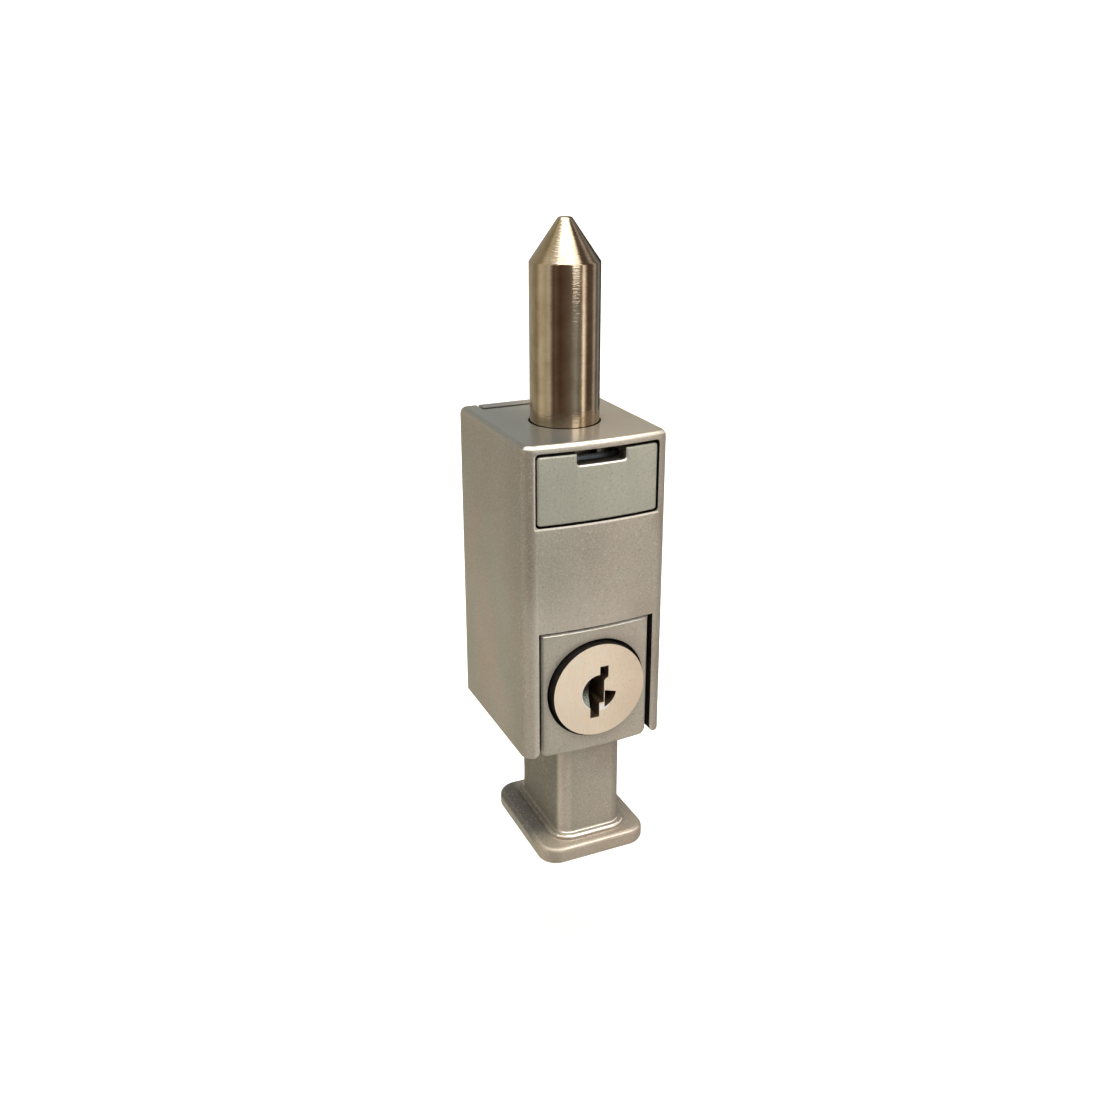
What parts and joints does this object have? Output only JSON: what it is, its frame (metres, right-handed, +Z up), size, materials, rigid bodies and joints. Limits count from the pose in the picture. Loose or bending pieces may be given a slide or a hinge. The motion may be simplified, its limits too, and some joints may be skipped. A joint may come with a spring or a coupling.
{
  "type": "patio door bolt",
  "caption": "Keyed surface bolt for a sliding patio door: a satin grey case with a sliding carriage, a wafer lock cylinder and a pointed steel bolt pin.",
  "frame": {"origin": "centre of the mounting face, half way up the case, where the bolt lies against the door", "axes": "+X to the right seen from the front, +Y into the door, +Z up along the bolt pin, towards its tip"},
  "size_m": [0.022, 0.0253, 0.0929],
  "materials": {
    "satin_casting": "satin silver grey metallic",
    "pin_steel": "turned and nickel plated",
    "zinc_steel": "zinc plated",
    "spring_steel": "bright spring steel",
    "brass": "bare brass",
    "face_plate": "satin nickel on brass"
  },
  "bodies": {
    "case": {"outer_case": "satin_casting", "back_plate": "satin_casting", "keeper_stud": "zinc_steel", "guide_strap": "zinc_steel", "case_screws": "zinc_steel"},
    "cover": {"cover_plate": "satin_casting", "cover_clip": "spring_steel"},
    "carriage": {"carriage": "satin_casting", "bolt_pin": "pin_steel", "bolt_cross_pin": "zinc_steel", "cylinder_body": "brass", "cylinder_retaining_pin": "zinc_steel", "detent_ball": "spring_steel", "detent_spring": "spring_steel"},
    "plug": {"cylinder_plug": "face_plate", "wafers": "brass", "wafer_springs": "spring_steel", "plug_circlip": "spring_steel", "cam": "zinc_steel", "cam_washer": "zinc_steel", "cam_screw": "zinc_steel"}
  },
  "joints": [
    {"name": "carriage_slide", "type": "slide", "parent": "case", "child": "carriage", "axis": [0, 0, -1], "range_m": [0, 0.0222]},
    {"name": "plug_turn", "type": "hinge", "parent": "carriage", "child": "plug", "pos_m": [0, -0.0153, -0.0137], "axis": [0, -1, 0], "range_deg": [0, 90]},
    {"name": "cover_pull", "type": "slide", "parent": "case", "child": "cover", "axis": [0, -1, 0], "range_m": [0, 0.006]}
  ]
}
